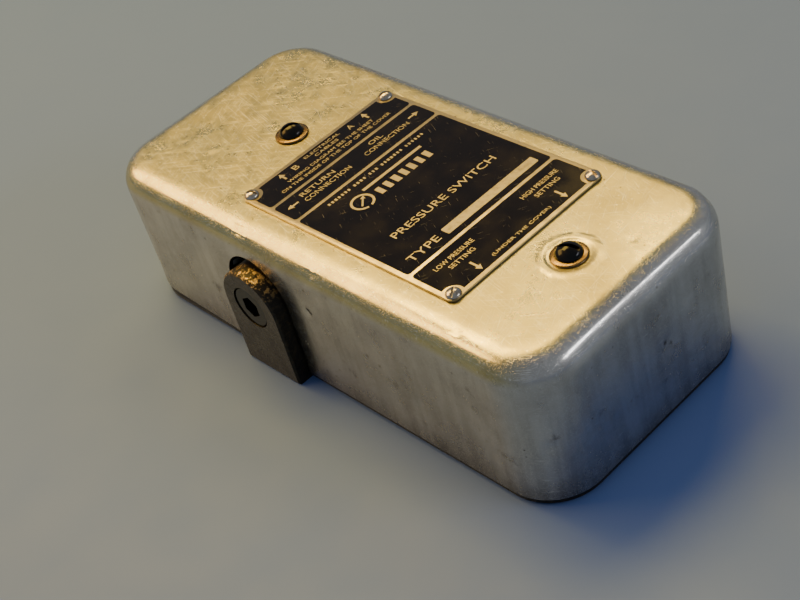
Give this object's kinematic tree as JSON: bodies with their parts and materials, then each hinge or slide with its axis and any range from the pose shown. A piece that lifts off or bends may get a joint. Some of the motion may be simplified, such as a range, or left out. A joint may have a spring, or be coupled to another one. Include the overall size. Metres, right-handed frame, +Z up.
{
  "type": "hydraulic pressure switch",
  "caption": "Oil pressure switch: iron hydraulic block with pistons, levers, range springs and snap switches under a deep-drawn cover with a name plate.",
  "frame": {"origin": "centre of the four mounting threads, on the surface the part stands on", "axes": "+X towards the end with the adjusting screws, +Y towards the pressure connection, +Z up"},
  "size_m": [0.172, 0.085, 0.0496],
  "materials": {
    "cover": "worn satin, scratched",
    "name_plate": "black enamel panels with bare aluminium borders",
    "nickel_steel": "nickel plated, slightly dull",
    "black_steel": "blackened, glossy with oil",
    "washer_brass": "tarnished",
    "spring_steel": "bright",
    "zinc_steel": "zinc plated",
    "diagram_sheet": "printed sheet",
    "casting": "blackened and oily",
    "gasket": "matt",
    "strip_plastic": "brown phenolic",
    "clamp_brass": "bright",
    "bronze": "machined bronze",
    "switch_plastic": "black phenolic",
    "button_plastic": "red"
  },
  "bodies": {
    "base": {"base_casting": "casting", "cover_gasket": "gasket", "return_port_plug": "black_steel", "cover_posts": "zinc_steel", "lever_bracket": "zinc_steel", "bracket_screws": "zinc_steel", "spring_bracket": "zinc_steel", "spring_bracket_screws": "zinc_steel", "pivot_pins": "spring_steel", "switch_screws": "zinc_steel", "terminal_strip": "strip_plastic", "terminal_clamps": "clamp_brass", "terminal_screws": "zinc_steel", "strip_screws": "zinc_steel", "earth_screw": "clamp_brass", "low_piston_sleeve": "bronze", "low_switch_body": "switch_plastic", "low_switch_terminals": "clamp_brass", "high_piston_sleeve": "bronze", "high_switch_body": "switch_plastic", "high_switch_terminals": "clamp_brass"},
    "cover": {"cover_shell": "cover", "name_plate": "name_plate", "name_plate_screws": "nickel_steel", "cover_screws": "black_steel", "cover_screw_washers": "washer_brass", "cover_screw_clips": "spring_steel", "diagram_plate": "diagram_sheet"},
    "low_cup": {"low_push_cup": "zinc_steel", "low_range_spring": "spring_steel"},
    "low_piston": {"low_piston": "spring_steel", "low_piston_seal": "gasket"},
    "low_lever": {"low_lever": "zinc_steel"},
    "low_button": {"low_switch_button": "button_plastic"},
    "low_adjuster": {"low_adjusting_screw": "zinc_steel", "low_screw_collar": "zinc_steel"},
    "low_seat": {"low_spring_seat": "bronze"},
    "high_cup": {"high_push_cup": "zinc_steel", "high_range_spring": "spring_steel"},
    "high_piston": {"high_piston": "spring_steel", "high_piston_seal": "gasket"},
    "high_lever": {"high_lever": "zinc_steel"},
    "high_button": {"high_switch_button": "button_plastic"},
    "high_adjuster": {"high_adjusting_screw": "zinc_steel", "high_screw_collar": "zinc_steel"},
    "high_seat": {"high_spring_seat": "bronze"}
  },
  "joints": [
    {"name": "cover_lift", "type": "slide", "parent": "base", "child": "cover", "axis": [0, 0, 1], "range_m": [0, 0.08]},
    {"name": "low_cup_slide", "type": "slide", "parent": "base", "child": "low_cup", "axis": [1, 0, 0], "range_m": [0, 0.0008], "stiffness_N_per_m": 6000, "springref_m": -0.004, "deforming": ["low_range_spring"]},
    {"name": "low_lever_hinge", "type": "hinge", "parent": "base", "child": "low_lever", "pos_m": [0.0009, -0.015, 0.0325], "axis": [0, -1, 0], "range_deg": [0, 5.22]},
    {"name": "low_piston_slide", "type": "slide", "parent": "base", "child": "low_piston", "axis": [1, 0, 0], "range_m": [0, 0.000802]},
    {"name": "low_button_slide", "type": "slide", "parent": "base", "child": "low_button", "axis": [-1, 0, 0], "range_m": [0, 0.000425]},
    {"name": "low_adjuster_turn", "type": "hinge", "parent": "base", "child": "low_adjuster", "pos_m": [0.0675, -0.015, 0.0237], "axis": [1, 0, 0], "range_deg": [-1728, 1728]},
    {"name": "low_seat_slide", "type": "slide", "parent": "base", "child": "low_seat", "axis": [-1, 0, 0], "range_m": [-0.00601, 0.00601], "deforming": ["low_range_spring"]},
    {"name": "high_cup_slide", "type": "slide", "parent": "base", "child": "high_cup", "axis": [1, 0, 0], "range_m": [0, 0.0008], "stiffness_N_per_m": 12000, "springref_m": -0.004, "deforming": ["high_range_spring"]},
    {"name": "high_lever_hinge", "type": "hinge", "parent": "base", "child": "high_lever", "pos_m": [0.0009, 0.015, 0.0325], "axis": [0, -1, 0], "range_deg": [0, 5.22]},
    {"name": "high_piston_slide", "type": "slide", "parent": "base", "child": "high_piston", "axis": [1, 0, 0], "range_m": [0, 0.000802]},
    {"name": "high_button_slide", "type": "slide", "parent": "base", "child": "high_button", "axis": [-1, 0, 0], "range_m": [0, 0.000425]},
    {"name": "high_adjuster_turn", "type": "hinge", "parent": "base", "child": "high_adjuster", "pos_m": [0.0675, 0.015, 0.0237], "axis": [1, 0, 0], "range_deg": [-1728, 1728]},
    {"name": "high_seat_slide", "type": "slide", "parent": "base", "child": "high_seat", "axis": [-1, 0, 0], "range_m": [-0.00601, 0.00601], "deforming": ["high_range_spring"]}
  ],
  "couplings": [
    {"joint": "low_lever_hinge", "follows": "low_cup_slide", "rad_per_m": 113.64},
    {"joint": "low_piston_slide", "follows": "low_cup_slide", "ratio": 1},
    {"joint": "low_button_slide", "follows": "low_cup_slide", "ratio": 0.52841},
    {"joint": "low_seat_slide", "follows": "low_adjuster_turn", "m_per_rad": 0.00019894},
    {"joint": "high_lever_hinge", "follows": "high_cup_slide", "rad_per_m": 113.64},
    {"joint": "high_piston_slide", "follows": "high_cup_slide", "ratio": 1},
    {"joint": "high_button_slide", "follows": "high_cup_slide", "ratio": 0.52841},
    {"joint": "high_seat_slide", "follows": "high_adjuster_turn", "m_per_rad": 0.00019894}
  ]
}
